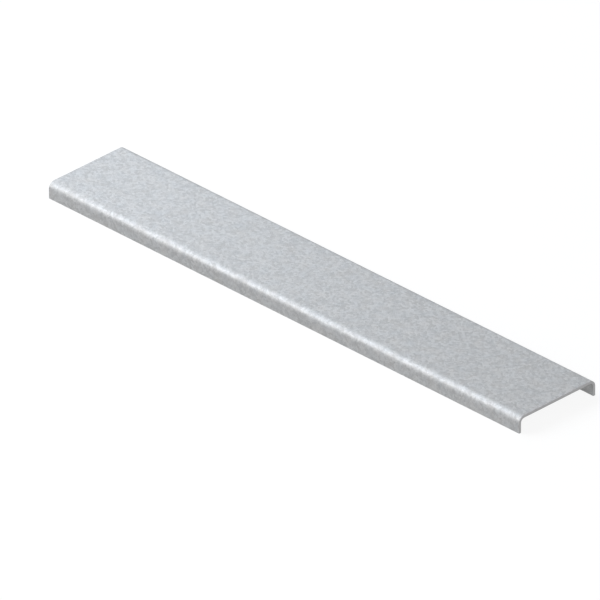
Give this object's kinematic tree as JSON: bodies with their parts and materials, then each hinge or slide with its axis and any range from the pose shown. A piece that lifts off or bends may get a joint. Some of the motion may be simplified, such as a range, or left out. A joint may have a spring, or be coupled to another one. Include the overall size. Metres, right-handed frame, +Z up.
{
  "type": "strut channel cover",
  "caption": "Long, shallow cover of galvanised sheet, flat on top with both long edges folded down, that closes the open side of strut channel.",
  "frame": {"origin": "middle of the length and width, on the plane of the flange edges", "axes": "+X along the cover, +Y across it from one flange to the other, +Z up out of the top face"},
  "size_m": [0.2748, 0.0448, 0.0076],
  "materials": {
    "galvanised_steel": "zinc coated sheet, satin, with a fine pale spangle and a faint blue tint"
  },
  "bodies": {
    "root": {"cover": "galvanised_steel"}
  },
  "joints": []
}
